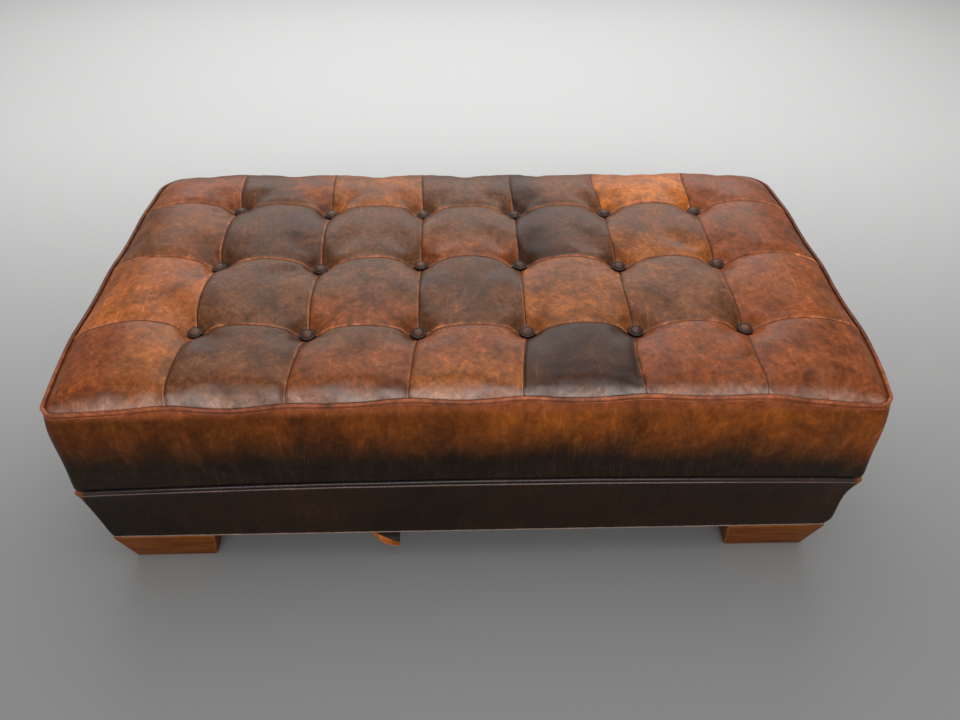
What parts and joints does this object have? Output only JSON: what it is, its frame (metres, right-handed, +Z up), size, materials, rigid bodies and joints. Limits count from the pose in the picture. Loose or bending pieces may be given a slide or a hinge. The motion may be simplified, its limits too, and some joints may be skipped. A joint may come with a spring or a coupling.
{
  "type": "storage ottoman",
  "caption": "Low rectangular storage ottoman: button-tufted patchwork leather lid, hinged at the back over a leather-covered box on tapered wooden block feet, held open by folding stays.",
  "frame": {"origin": "centre of the footprint, on the floor", "axes": "+X along the length to the right seen from the front, +Y to the hinged back, +Z up"},
  "size_m": [1.218, 0.6594, 0.419],
  "materials": {
    "patch_leather": "waxed, worn",
    "band_leather": "burnished",
    "rail_leather": "semi-gloss",
    "piping_leather": "waxed",
    "button_leather": "waxed",
    "foot_wood": "stained, satin",
    "frame_wood": "planed",
    "plywood": "sanded",
    "lining_cloth": "matt",
    "foam": "matt",
    "twine": "matt",
    "anchor_plastic": "matt",
    "steel": "zinc plated"
  },
  "bodies": {
    "base": {"rail_front": "frame_wood", "rail_back": "frame_wood", "rail_left": "frame_wood", "rail_right": "frame_wood", "corner_blocks": "frame_wood", "base_panel": "plywood", "storage_lining": "lining_cloth", "base_cover": "rail_leather", "base_welt": "rail_leather", "dust_cover": "lining_cloth", "foot_front_left": "foot_wood", "foot_front_right": "foot_wood", "foot_back_left": "foot_wood", "foot_back_right": "foot_wood", "foot_bolts": "steel", "leather_tab": "rail_leather", "hinge_base_leaves": "steel", "hinge_pins": "steel", "hinge_base_screws": "steel", "stay_base_brackets": "steel", "stay_base_screws": "steel"},
    "lid": {"lid_rail_front": "frame_wood", "lid_rail_back": "frame_wood", "lid_rail_left": "frame_wood", "lid_rail_right": "frame_wood", "lid_corner_blocks": "frame_wood", "seat_board": "plywood", "lid_lining": "lining_cloth", "foam_core": "foam", "side_wadding": "foam", "side_band": "band_leather", "top_welt": "piping_leather", "tufted_top": "patch_leather", "tuft_buttons": "button_leather", "button_ties": "twine", "tie_anchors": "anchor_plastic", "hinge_lid_leaves": "steel", "hinge_lid_screws": "steel", "stay_lid_brackets": "steel", "stay_lid_screws": "steel"},
    "stay_lower_left": {"stay_lower_left": "steel"},
    "stay_upper_left": {"stay_upper_left": "steel"},
    "stay_lower_right": {"stay_lower_right": "steel"},
    "stay_upper_right": {"stay_upper_right": "steel"}
  },
  "joints": [
    {"name": "lid_hinge", "type": "hinge", "parent": "base", "child": "lid", "pos_m": [0, 0.33, 0.2175], "axis": [-1, 0, 0], "range_deg": [0, 80]},
    {"name": "stay_lower_left_pivot", "type": "hinge", "parent": "base", "child": "stay_lower_left", "pos_m": [-0.572, 0.18, 0.1775], "axis": [-1, 0, 0], "range_deg": [0, 80]},
    {"name": "stay_upper_left_pivot", "type": "hinge", "parent": "lid", "child": "stay_upper_left", "pos_m": [-0.572, 0.18, 0.2575], "axis": [-1, 0, 0], "range_deg": [-80, 0]},
    {"name": "stay_lower_right_pivot", "type": "hinge", "parent": "base", "child": "stay_lower_right", "pos_m": [0.572, 0.18, 0.1775], "axis": [-1, 0, 0], "range_deg": [0, 80]},
    {"name": "stay_upper_right_pivot", "type": "hinge", "parent": "lid", "child": "stay_upper_right", "pos_m": [0.572, 0.18, 0.2575], "axis": [-1, 0, 0], "range_deg": [-80, 0]}
  ],
  "couplings": [
    {"joint": "stay_lower_left_pivot", "follows": "lid_hinge", "ratio": 1},
    {"joint": "stay_upper_left_pivot", "follows": "lid_hinge", "ratio": -1},
    {"joint": "stay_lower_right_pivot", "follows": "lid_hinge", "ratio": 1},
    {"joint": "stay_upper_right_pivot", "follows": "lid_hinge", "ratio": -1}
  ]
}
